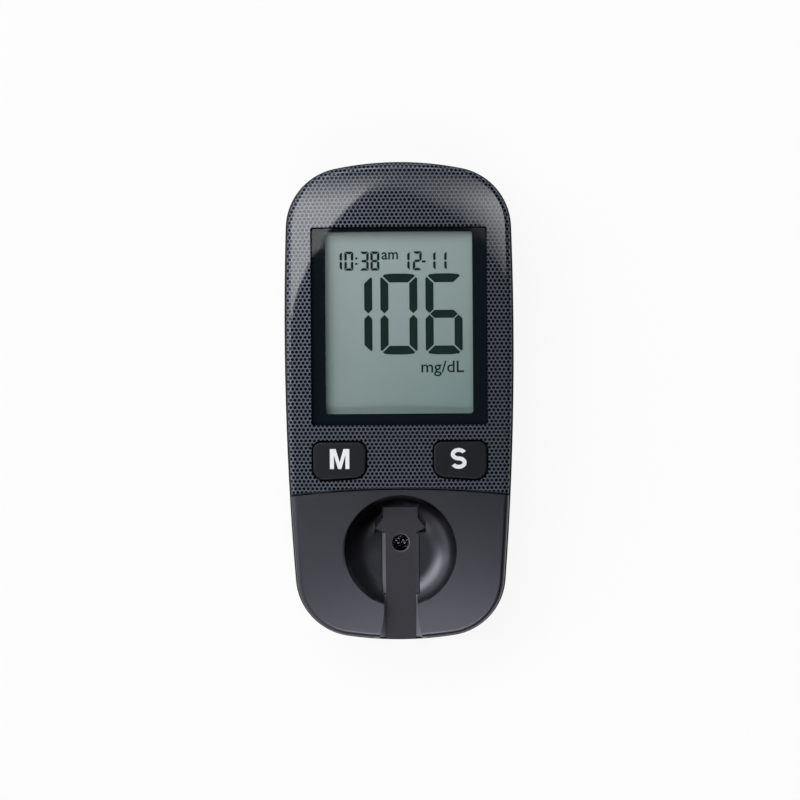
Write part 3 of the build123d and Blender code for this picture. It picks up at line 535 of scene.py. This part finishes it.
finishes = {
    "face_plate": makeMaterial("frontSkin", frontSkin),
    "optics_cover": makeMaterial("coverSkin", coverSkin),
    "front_housing": plastic(
        "chassisBlack", rgb(16, 16, 19), rgb(26, 26, 29), 0.5, 5200.0, 0.000012, shine=0.3
    ),
    "rear_housing": plastic("backShell", rgb(46, 47, 51), rgb(58, 59, 63), 0.5, 4200.0, 0.00003),
    "strip_guide": makeMaterial("guideSkin", guideSkin),
    "window_mask": printInk("maskInk", rgb(7, 17, 24), 0.8, gloss=1.0),
    "lcd_cell": makeMaterial("displayGlass", displayGlass),
    "lcd_frame": plastic("frameWhite", rgb(205, 205, 198), rgb(222, 222, 216), 0.5, 3000.0, 0.00001),
    "lcd_reflector": metal("reflectorFoil", rgb(214, 214, 212), 0.3, (1, 30, 1)),
    "display_gasket": makeMaterial("gasketFoam", foam),
    "zebra_strip": makeMaterial("contactStripes", contactStripes),
    "main_board": makeMaterial("circuitBoard", circuitBoard),
    "board_screws": metal("screwSteel", rgb(190, 192, 196), 0.25),
    "processor_chip": plastic("chipEpoxy", rgb(24, 24, 26), rgb(36, 36, 38), 0.55, 9000.0, 0.00001),
    "quartz_crystal": metal("crystalCan", rgb(205, 206, 208), 0.2, (1, 20, 1)),
    "smd_parts": plastic("ceramicChips", rgb(136, 112, 88), rgb(168, 146, 118), 0.45, 5000.0, 0.00001),
    "beeper": plastic("beeperBlack", rgb(18, 18, 20), rgb(30, 30, 32), 0.4, 4000.0, 0.00001),
    "usb_socket": metal("socketSteel", rgb(184, 186, 190), 0.25, (30, 1, 1)),
    "button_m": plastic(
        "keyBlack", rgb(24, 26, 31), rgb(33, 34, 41), 0.36, 7000.0, 0.000005, coat=0.05, shine=0.2
    ),
    "m_key_dome": makeMaterial("domeSilicone", silicone),
    # painted shade: the optics window's dark tint darkens the measuring hole below it
    "optics_window": clearPane("opticsClear", 0.05, (0.28, 0.28, 0.33, 1), 0.0004, (-3, -30, 3, -24)),
    "display_lens": clearPane("lensClear", 0.02, (0.985, 0.99, 0.99, 1), 0.0, (-14.9, -2.4, 14.9, 34.5)),
    "optics_block": plastic("blockBlack", rgb(12, 12, 13), rgb(22, 22, 24), 0.7, 3000.0, 0.00002),
    "measuring_leds": plastic(
        "diodeEpoxy", rgb(170, 172, 160), rgb(206, 206, 196), 0.15, 2000.0, 0.000004, coat=0.6
    ),
    "battery_cell": metal("cellSteel", rgb(196, 196, 194), 0.22, grain=1800.0),
    "battery_contact_plus": metal("contactBrass", rgb(198, 172, 96), 0.28, (1, 1, 20)),
    "battery_door": plastic("doorShell", rgb(46, 47, 51), rgb(58, 59, 63), 0.46, 4200.0, 0.00003),
}
# pieces that share the finish of another
sameFinish = {
    "button_s": "button_m",
    "s_key_dome": "m_key_dome",
    "light_seal": "display_gasket",
    "photodiode": "measuring_leds",
    "battery_contact_minus": "battery_contact_plus",
}
for nodeName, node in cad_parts.items():
    material = finishes[sameFinish.get(nodeName, nodeName)]
    for holder in node.material_slots:
        holder.material = material


def newPiece(name, mesh, material, body):
    piece = bpy.data.objects.new(name, mesh)
    bpy.context.scene.collection.objects.link(piece)
    mesh.materials.clear()
    mesh.materials.append(material)
    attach(piece, body)
    return piece


def helperObject(name, data):
    helper = bpy.data.objects.new(name, data)
    bpy.context.scene.collection.objects.link(helper)
    return helper


def dropObject(helper):
    mesh = helper.data
    bpy.data.objects.remove(helper)
    if mesh is not None and mesh.users == 0:
        bpy.data.meshes.remove(mesh)


def meshFrom(name, vertices, faces):
    mesh = bpy.data.meshes.new(name)
    mesh.from_pydata(vertices, [], faces)
    mesh.update()
    return mesh


def meshOf(builder, name):  # ends the builder
    mesh = bpy.data.meshes.new(name)
    builder.to_mesh(mesh)
    builder.free()
    return mesh


def evaluatedMesh(helper):  # the helper's shape as a plain mesh
    bpy.context.view_layer.update()
    evaluated = helper.evaluated_get(bpy.context.evaluated_depsgraph_get())
    return bpy.data.meshes.new_from_object(evaluated)


def nodeGroup(name, inputs):  # a tree for shapes with named inputs: gives it, its builder and its wires
    group = bpy.data.node_groups.new(name, "GeometryNodeTree")
    group.interface.new_socket("Geometry", in_out="OUTPUT", socket_type="NodeSocketGeometry")
    group.interface.new_socket("Geometry", in_out="INPUT", socket_type="NodeSocketGeometry")
    for label, kind in inputs.items():
        group.interface.new_socket(label, in_out="INPUT", socket_type="NodeSocket" + kind)
    tree = Tree(group)
    start = group.nodes.new("NodeGroupInput")
    wires = {socket.name: Wire(tree, socket) for socket in start.outputs if socket.name}
    return group, tree, wires


def runGroup(group, host, values):  # what the tree makes of a host object, as a plain mesh
    modifier = host.modifiers.new("build", "NODES")
    modifier.node_group = group
    for item in group.interface.items_tree:
        if item.in_out == "INPUT" and item.name in values:
            modifier[item.identifier] = values[item.name]
    host.update_tag()
    mesh = evaluatedMesh(host)
    host.modifiers.clear()
    return mesh


def closedSlab(tree, sheet, thickness):  # raises a sheet along Z and closes it underneath
    up = tree.node("ShaderNodeCombineXYZ", inputs={"Z": 1.0})
    raised = tree.node(
        "GeometryNodeExtrudeMesh",
        inputs={"Mesh": sheet, "Offset": up, "Offset Scale": thickness, "Individual": False},
    )
    under = tree.node("GeometryNodeFlipFaces", inputs={"Mesh": sheet})
    both = tree.node("GeometryNodeJoinGeometry", inputs={"Geometry": [raised, under]})
    return tree.node("GeometryNodeMergeByDistance", inputs={"Geometry": both, "Distance": 1e-7})


def finishTree(tree, shape, material):  # gives the shape its material and ends the tree
    plain = tree.node("GeometryNodeRealizeInstances", inputs={"Geometry": shape})
    shown = tree.node("GeometryNodeSetMaterial", inputs={"Geometry": plain, "Material": material})
    tree.node("NodeGroupOutput", inputs={"Geometry": shown})


print("stage: display lens")
# the clear pane: a grid drawn in to round corners, laid on the crown and given its wall; millimetres
lensShape = {
    "Width": 35.7,
    "Length": 40.1,
    "Middle": 15.3,
    "Corner": 0.35,
    "Wall": 1.14,
    "Sink": 0.01,
    "Columns": 73,
    "Rows": 81,
}
sharpAngle = 0.7


def lensGroup(material):  # its top follows the crown, also when the sizes change
    sizes = {name: "Int" if isinstance(value, int) else "Float" for name, value in lensShape.items()}
    group, tree, wires = nodeGroup("crownedPane", sizes)
    grid = tree.node(
        "GeometryNodeMeshGrid",
        inputs={
            "Size X": wires["Width"],
            "Size Y": wires["Length"],
            "Vertices X": wires["Columns"],
            "Vertices Y": wires["Rows"],
        },
    )
    place = tree.node("GeometryNodeInputPosition")
    flat = {"X": tree.part(place, "X"), "Y": tree.part(place, "Y")}
    inner = {"X": wires["Width"] * 0.5 - wires["Corner"], "Y": wires["Length"] * 0.5 - wires["Corner"]}
    beyond = {axis: (flat[axis].calc("ABSOLUTE") - inner[axis]).calc("MAXIMUM", 0.0) for axis in "XY"}
    reach = (beyond["X"] * beyond["X"] + beyond["Y"] * beyond["Y"]).calc("SQRT").calc("MAXIMUM", 1e-6)
    share = beyond["X"].calc("MAXIMUM", beyond["Y"]) / reach
    drawn = {}
    for axis in "XY":
        length = flat[axis].calc("ABSOLUTE").calc("MINIMUM", inner[axis]) + beyond[axis] * share
        drawn[axis] = length * flat[axis].calc("SIGN")
    x = drawn["X"]
    y = drawn["Y"] + wires["Middle"]
    fromCrest = y - crown["crestY"]
    cross = (crown["longRadius"] ** 2 - fromCrest * fromCrest).calc("SQRT")
    cross = cross + (crown["crossRadius"] - crown["longRadius"])
    top = (cross * cross - x * x).calc("SQRT") + (crown["height"] - crown["crossRadius"])
    base = top - wires["Wall"] - wires["Sink"]
    spot = tree.node("ShaderNodeCombineXYZ", inputs={"X": x * mm, "Y": y * mm, "Z": base * mm})
    sheet = tree.node("GeometryNodeSetPosition", inputs={"Geometry": grid, "Position": spot})
    finishTree(tree, closedSlab(tree, sheet, wires["Wall"] * mm), material)
    return group


def buildLens():
    material = finishes["display_lens"]
    host = helperObject("lensHost", meshFrom("lensHost", [], []))
    mesh = runGroup(lensGroup(material), host, lensShape)
    dropObject(host)
    mesh.name = "displayPane"
    mesh.shade_smooth()
    mesh.set_sharp_from_angle(angle=sharpAngle)
    piece = newPiece("displayPane", mesh, material, "housing")
    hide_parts("display_lens")


buildLens()

print("stage: slot walls")
# sloping walls from the flared edge of the slot down to the guide, in millimetres
slotShape = {
    "from": -39.48,
    "to": -48.1,
    "steps": 17,
    "halfWidth": 3.41,
    "flareFrom": -41.5,
    "flare": 0.0211,
    "dishEnd": -39.5,
    "dishHeight": 13.93,
    "dishRise": 0.91,
    "rollFrom": -47.2,
    "roll": 1.2,
    "guideSide": 3.1,
    "guideTop": 13.62,
    "sink": 0.14,
    "thick": 0.3,
}


def slotRing(side, y):  # four corners of one wall's cross-section
    shape = slotShape
    out = shape["halfWidth"] + shape["flare"] * min(0.0, y - shape["flareFrom"]) ** 2
    rolled = max(0.0, shape["rollFrom"] - y)
    skin = crownHeight(out, y) - shape["roll"] + math.sqrt(shape["roll"] ** 2 - rolled**2)
    dish = shape["dishHeight"] + shape["dishRise"] * (shape["dishEnd"] - y)
    corners = [(out, min(skin, dish) - shape["sink"]), (shape["guideSide"], shape["guideTop"])]
    corners += [(x, z - shape["thick"]) for x, z in reversed(corners)]
    return [(side * x * mm, y * mm, z * mm) for x, z in corners]


def buildSlotWalls(material):
    builder = bmesh.new()
    start = slotShape["from"]
    step = (slotShape["to"] - start) / slotShape["steps"]
    for side in (-1, 1):
        rings = []
        for index in range(slotShape["steps"] + 1):
            rings.append([builder.verts.new(corner) for corner in slotRing(side, start + step * index)])
        for one, two in zip(rings, rings[1:]):
            for i in range(4):
                following = (i + 1) % 4
                builder.faces.new((one[i], one[following], two[following], two[i]))
        builder.faces.new(rings[0])
        builder.faces.new(rings[-1])
    bmesh.ops.recalc_face_normals(builder, faces=builder.faces)
    newPiece("slotWalls", meshOf(builder, "slotWalls"), material, "optics_cover")


buildSlotWalls(plastic("slotWall", rgb(104, 104, 112), rgb(116, 116, 125), 0.45, 6000.0, 0.000005))

print("stage: readout")
segmentInk = printInk("segmentInk", rgb(22, 42, 37), 0.5)
displayLevel = 15.2  # top of the display glass, in millimetres
film = {"thick": 0.02, "lift": 0.01}
# digits of seven bars, in millimetres
bigDigit = {"width": 7.54, "height": 16.2, "stroke": 1.64, "gap": 0.3, "bow": 0.16, "corner": 0.6}
smallDigit = {"width": 1.85, "height": 3.9, "stroke": 0.52, "gap": 0.09, "bow": 0.0, "corner": 0.14}
# the cut of a bar's outer corner, as shares of the corner, and of the bowed stretch, as shares of the width
barCut = {"along": 0.45, "down": 0.55, "bowFrom": 0.3, "bowTo": 0.7}
# one bit for each bar that is dark: top, right, lower right, foot, lower left, left, middle
litBars = {"0": 0b0111111, "1": 0b0000110, "2": 0b1011011, "3": 0b1001111, "6": 0b1111101, "8": 0b1111111}


def barOutlines(shape):  # seven outlines with the digit's lower left corner at 0, 0
    w = shape["width"]
    h = shape["height"]
    s = shape["stroke"]
    c = shape["corner"]
    g = shape["gap"] / 2
    k = g * math.sqrt(2)
    along = c * barCut["along"]
    down = h - c * barCut["down"]
    half = h / 2
    bow = h + shape["bow"]
    # the right bar of the upper half, from its lower point up the outside
    right = [(w - s / 2, half + g), (w, half + s / 2 + g), (w, h - c - k)]
    right += [(w - along, down - k), (w - s, h - s - k), (w - s, half + s / 2 + g)]
    top = [(s + k, h - s), (w - s - k, h - s), (w - along - k, down), (w - c - k, h)]
    top += [(w * barCut["bowTo"], bow), (w * barCut["bowFrom"], bow), (c + k, h), (along + k, down)]
    middle = [(s + g, half - s / 2), (w - s - g, half - s / 2), (w - s / 2 - g, half)]
    middle += [(w - s - g, half + s / 2), (s + g, half + s / 2), (s / 2 + g, half)]

    def flip(points, overX, overY):
        turned = [(w - x if overX else x, h - y if overY else y) for x, y in points]
        return turned if overX == overY else turned[::-1]

    lowRight = flip(right, False, True)
    foot = flip(top, False, True)
    lowLeft = flip(right, True, True)
    left = flip(right, True, False)
    return [top, right, lowRight, foot, lowLeft, left, middle]


def digitTemplate(name, shape):  # the seven bars as faces, each vertex marked with the number of its bar
    vertices = []
    faces = []
    marks = []
    for number, outline in enumerate(barOutlines(shape)):
        faces.append([len(vertices) + i for i in range(len(outline))])
        vertices += [(x * mm, y * mm, 0.0) for x, y in outline]
        marks += [number] * len(outline)
    mesh = meshFrom(name, vertices, faces)
    mesh.attributes.new("bar", "INT", "POINT").data.foreach_set("value", marks)
    return helperObject(name, mesh)


def readoutGroup(material):  # a digit on each point, kept where the point's code has that bar's bit
    group, tree, wires = nodeGroup("readout", {"Digit": "Object", "Thickness": "Float"})
    shape = tree.node("GeometryNodeObjectInfo", inputs={"Object": wires["Digit"]}, output="Geometry")
    spots = {"Points": wires["Geometry"], "Instance": shape}
    digits = tree.node("GeometryNodeInstanceOnPoints", inputs=spots)
    plain = tree.node("GeometryNodeRealizeInstances", inputs={"Geometry": digits})
    code = tree.node("GeometryNodeInputNamedAttribute", {"data_type": "INT"}, {"Name": "code"})
    bar = tree.node("GeometryNodeInputNamedAttribute", {"data_type": "INT"}, {"Name": "bar"})
    bit = (code / bar.under(2.0, "POWER")).calc("FLOOR").calc("MODULO", 2.0)
    unlit = tree.node("FunctionNodeCompare", {"operation": "LESS_THAN"}, {0: bit, 1: 0.5})
    dropped = {"Geometry": plain, "Selection": unlit}
    lit = tree.node("GeometryNodeDeleteGeometry", {"domain": "POINT"}, dropped)
    finishTree(tree, closedSlab(tree, lit, wires["Thickness"]), material)
    return group


# rows of digits, in millimetres: lower left corner of the first one, and the step from one to the next
readings = {
    "measuredDigits": {
        "shape": bigDigit,
        "rows": ({"digits": "106", "x": -12.98, "y": 9.7, "step": 9.2},),
    },
    "clockDigits": {
        "shape": smallDigit,
        "rows": (
            {"digits": "10", "x": -13.38, "y": 26.7, "step": 2.3},
            {"digits": "38", "x": -7.95, "y": 26.7, "step": 2.18},
            {"digits": "12", "x": 0.42, "y": 26.7, "step": 2.45},
            {"digits": "11", "x": 5.7, "y": 26.7, "step": 2.26},
        ),
    },
}


def buildReadout(name, reading, group):
    points = []
    codes = []
    level = (displayLevel + film["lift"]) * mm
    for row in reading["rows"]:
        for index, digit in enumerate(row["digits"]):
            points.append(((row["x"] + index * row["step"]) * mm, row["y"] * mm, level))
            codes.append(litBars[digit])
    mesh = meshFrom(name + "Points", points, [])
    mesh.attributes.new("code", "INT", "POINT").data.foreach_set("value", codes)
    host = helperObject(name + "Points", mesh)
    digit = digitTemplate(name + "Digit", reading["shape"])
    result = runGroup(group, host, {"Digit": digit, "Thickness": film["thick"] * mm})
    result.name = name
    dropObject(digit)
    dropObject(host)
    newPiece(name, result, segmentInk, "housing")


readout = readoutGroup(segmentInk)
for name, reading in readings.items():
    buildReadout(name, reading, readout)

print("stage: lettering")
printWhite = printInk("printWhite", rgb(240, 241, 243), 0.5)


def textMesh(name, words, weight):  # flat letters, one unit high
    curve = bpy.data.curves.new(name, "FONT")
    curve.body = words
    curve.offset = weight
    curve.resolution_u = 6  # steps along each curved stroke
    helper = helperObject(name, curve)
    mesh = evaluatedMesh(helper)
    bpy.data.objects.remove(helper)
    return mesh


def outlineMesh(name, outline):  # one flat face
    vertices = [(x, y, 0.0) for x, y in outline]
    return meshFrom(name, vertices, [list(range(len(vertices)))])


def layFlat(mesh, box, surface):  # fits flat letters in a box of low and high corners, and thickens them
    low = [min(v.co[axis] for v in mesh.vertices) for axis in (0, 1)]
    high = [max(v.co[axis] for v in mesh.vertices) for axis in (0, 1)]
    scale = [(box[axis + 2] - box[axis]) / (high[axis] - low[axis]) * mm for axis in (0, 1)]
    builder = bmesh.new()
    builder.from_mesh(mesh)
    bmesh.ops.remove_doubles(builder, verts=builder.verts, dist=1e-6)
    for vertex in builder.verts:
        vertex.co.x = (vertex.co.x - low[0]) * scale[0] + box[0] * mm
        vertex.co.y = (vertex.co.y - low[1]) * scale[1] + box[1] * mm
    bmesh.ops.triangulate(builder, faces=builder.faces)
    raised = bmesh.ops.extrude_face_region(builder, geom=builder.faces[:], use_keep_orig=True)
    for vertex in builder.verts:
        vertex.co.z = (surface(vertex.co.x / mm, vertex.co.y / mm) + film["lift"]) * mm
    for item in raised["geom"]:
        if isinstance(item, bmesh.types.BMVert):
            item.co.z += film["thick"] * mm
    bmesh.ops.recalc_face_normals(builder, faces=builder.faces)
    builder.to_mesh(mesh)
    builder.free()
    return mesh


# capitals on the keys, in millimetres and degrees; foot, shoulder and notch are shares for the M
capital = {
    "proud": 0.3,
    "stroke": 0.82,
    "foot": 0.42,
    "shoulder": 1.45,
    "notch": 0.33,
    "from": 25,
    "sweep": 245,
    "steps": 24,
}
# boxes of the letters on the keys, in millimetres
keyLetters = {"M": (-14.2, -13.62, -10.25, -9.57), "S": (10.3, -13.74, 13.5, -9.5)}


def letterM(width, height, stem):  # the outline of a broad capital, its middle strokes meeting on the foot
    middle = width / 2
    point = stem * capital["foot"]
    shoulder = stem * capital["shoulder"]
    notch = height * capital["notch"]
    slope = (height - notch) / (middle - shoulder)
    crotch = slope * (middle - point - stem)
    left = [(0, height), (0, 0), (stem, 0), (stem, crotch), (middle - point, 0)]
    right = [(width - x, y) for x, y in reversed(left)]
    return left + right + [(width - shoulder, height), (middle, notch), (shoulder, height)]


def letterS(width, height, stroke):  # two bowls of one stroke that turns over in the middle
    a = (width - stroke) / 2
    b = (height - stroke) / 4
    upper = []
    for i in range(capital["steps"] + 1):
        turn = math.radians(capital["from"] + capital["sweep"] * i / capital["steps"])
        aside = Vector((b * math.cos(turn), a * math.sin(turn))).normalized() * stroke / 2
        upper.append((Vector((a * math.cos(turn), b + b * math.sin(turn))), aside))
    path = upper + [(-spot, aside) for spot, aside in reversed(upper[:-1])]
    outer = [spot + aside for spot, aside in path]
    inner = [spot - aside for spot, aside in path]
    return outer + inner[::-1]


def buildKeyLetters():
    for letter, outline in {"M": letterM, "S": letterS}.items():
        name = "keyLetter" + letter
        box = keyLetters[letter]
        flat = outlineMesh(name, outline(box[2] - box[0], box[3] - box[1], capital["stroke"]))
        mesh = layFlat(flat, box, lambda x, y: crownHeight(x, y, capital["proud"]))
        newPiece(name, mesh, printWhite, "button_" + letter.lower())


buildKeyLetters()

# words on the display: weight is how far the letters are grown, boxes are in millimetres
displayWords = {
    "unitLabel": {"words": "mg/dL", "weight": 0.006, "box": (4.5, 5.1, 13.2, 8.27)},
    "clockLabel": {"words": "am", "weight": 0.012, "box": (-3.47, 28.93, -0.13, 30.45)},
}
for name, word in displayWords.items():
    letters = textMesh(name, word["words"], word["weight"])
    letters = layFlat(letters, word["box"], lambda x, y: displayLevel)
    newPiece(name, letters, segmentInk, "housing")

# the colon and the hyphen of the clock line, in millimetres: middle, width and height of each block
clockMarks = ((-8.63, 28.1, 0.44, 0.4), (-8.63, 29.2, 0.44, 0.4), (5.12, 28.5, 0.8, 0.42))


def buildClockMarks():
    builder = bmesh.new()
    level = displayLevel + film["lift"] + film["thick"] / 2
    for x, y, width, height in clockMarks:
        place = Matrix.Translation(Vector((x, y, level)) * mm)
        place = place @ Matrix.Diagonal((width * mm, height * mm, film["thick"] * mm, 1.0))
        bmesh.ops.create_cube(builder, size=1.0, matrix=place)
    newPiece("clockMarks", meshOf(builder, "clockMarks"), segmentInk, "housing")


buildClockMarks()

print("stage: room")
# in metres; shadowShare is how much of the shadow on it shows
floorShape = {"size": 6.0, "level": -0.00002, "matt": (0.98, 0.98, 0.98, 1.0), "shadowShare": 0.1}


def seenBy(tree, *rays):  # 1 for the named kinds of ray
    total = tree.node("ShaderNodeLightPath", output=rays[0])
    for ray in rays[1:]:
        total = total.calc("MAXIMUM", tree.node("ShaderNodeLightPath", output=ray))
    return total


def buildFloor():  # seen from above only, so that the underside can be looked at as well
    half = floorShape["size"] / 2
    z = floorShape["level"]
    corners = [(-half, -half, z), (half, -half, z), (half, half, z), (-half, half, z)]
    floor = helperObject("floor", meshFrom("floor", corners, [(0, 1, 2, 3)]))
    floor.visible_diffuse = False
    floor.visible_shadow = False
    material, tree = emptyMaterial("floorWhite")
    matt = tree.node("ShaderNodeBsdfDiffuse", inputs={"Color": floorShape["matt"]})
    glow = tree.node("ShaderNodeEmission", inputs={"Color": white, "Strength": 1.0})
    share = seenBy(tree, "Is Camera Ray", "Is Glossy Ray", "Is Transmission Ray")
    share = share * (1.0 - floorShape["shadowShare"])
    top = tree.node("ShaderNodeMixShader", inputs={0: share, 1: matt, 2: glow})
    clear = tree.node("ShaderNodeBsdfTransparent")
    below = tree.node("ShaderNodeNewGeometry", output="Backfacing")
    both = tree.node("ShaderNodeMixShader", inputs={0: below, 1: top, 2: clear})
    tree.node("ShaderNodeOutputMaterial", inputs={"Surface": both})
    floor.data.materials.append(material)


# dark overhead and paler round the horizon to the left, in shares of white
sky = {
    "zenith": (0.03, 0.032, 0.04, 1.0),
    "left": (1.5, 1.5, 1.52, 1.0),
    "right": (0.08, 0.08, 0.09, 1.0),
    "below": (0.85, 0.85, 0.85, 1.0),
    "lowest": 0.15,
    "highest": 0.85,
    "leftRise": 1.1,
    "leftFrom": 0.1,
    "belowFade": 100.0,
}
# a pale band round the dark overhead, at the end of the display: directions as run over rise
band = {
    "middleX": 0.04,
    "middleY": -0.16,
    "radius": 0.41,
    "sharp": 0.004,
    "soft": 0.075,
    "softFrom": -0.1,
    "softOver": 0.2,
    "farthest": 0.258,
    "fade": 0.04,
    "rightEnd": 0.4,
    "rightFade": 0.1,
    "startFade": 0.05,
    "lowestRise": 0.05,
    "level": 2.3,
}


def paleBand(tree, direction):
    rise = tree.part(direction, "Z").calc("MAXIMUM", band["lowestRise"])
    x = tree.part(direction, "X") / rise
    y = tree.part(direction, "Y") / rise
    fromX = x - band["middleX"]
    fromY = y - band["middleY"]
    beyond = (fromX * fromX + fromY * fromY).calc("SQRT") - band["radius"]
    softness = ((x - band["softFrom"]) / band["softOver"]).clamped() * band["soft"] + band["sharp"]
    edge = (beyond / softness + 0.5).clamped()
    farEnd = ((band["farthest"] - y) / band["fade"]).clamped()
    nearEnd = (y / band["startFade"]).clamped()
    rightEnd = ((band["rightEnd"] - x) / band["rightFade"]).clamped()
    return edge * farEnd * nearEnd * rightEnd * band["level"]


def buildSky():
    world = bpy.data.worlds.new("studio")
    bpy.context.scene.world = world
    world.use_nodes = True
    tree = Tree(world.node_tree)
    direction = tree.place("Generated")
    height = ((tree.part(direction, "Z") - sky["lowest"]) / (sky["highest"] - sky["lowest"])).clamped()
    aside = (tree.part(direction, "X") * -sky["leftRise"] - sky["leftFrom"]).clamped()
    low = tree.mix(aside, sky["right"], sky["left"])
    shade = tree.mix(height, low, sky["zenith"])
    lit = tree.node("ShaderNodeVectorMath", {"operation": "ADD"}, {0: shade, 1: paleBand(tree, direction)})
    under = (tree.part(direction, "Z") * -sky["belowFade"]).clamped()
    lit = tree.mix(under, lit, sky["below"])
    colour = tree.mix(seenBy(tree, "Is Camera Ray", "Is Transmission Ray"), lit, white)
    light = tree.node("ShaderNodeBackground", inputs={"Color": colour, "Strength": 1.0})
    tree.node("ShaderNodeOutputWorld", inputs={"Surface": light})


# the lamps, in metres; reach is where a lamp's near edge starts, level is the brightness of its face
lamps = {
    "windowLamp": {
        "towards": (-0.593, 0.805),
        "reach": 0.42,
        "height": 1.0,
        "size": (1.6, 0.8),
        "level": 3.1,
    },
    "footLamp": {
        "towards": (0.06, -1.0),
        "reach": 0.5,
        "height": 1.0,
        "size": (0.9, 0.45),
        "level": 3.8,
    },
}


def buildLamps():
    for name, lamp in lamps.items():
        across, along = lamp["size"]
        light = bpy.data.lights.new(name, "AREA")
        light.shape = "RECTANGLE"
        light.size = across
        light.size_y = along
        light.energy = lamp["level"] * math.pi * across * along
        holder = helperObject(name, light)
        away = Vector(lamp["towards"]).normalized() * (lamp["reach"] + along / 2)
        holder.location = (away.x, away.y, lamp["height"])
        holder.rotation_euler = (0.0, 0.0, math.atan2(away.y, away.x) - math.pi / 2)


# straight above the meter, in metres; lens and sensor in millimetres
view = {
    "height": 0.4684,
    "aside": 0.00009,
    "ahead": 0.00028,
    "turn": -0.0068,
    "lens": 100.0,
    "sensor": 36.0,
}


def buildCamera():
    camera = bpy.data.cameras.new("camera")
    camera.lens = view["lens"]
    camera.sensor_width = view["sensor"]
    holder = helperObject("camera", camera)
    holder.location = (view["aside"], view["ahead"], view["height"])
    holder.rotation_euler = (0.0, 0.0, view["turn"])
    bpy.context.scene.camera = holder


buildFloor()
buildSky()
buildLamps()
buildCamera()
bpy.context.scene.view_settings.view_transform = "Standard"

print("stage: done")
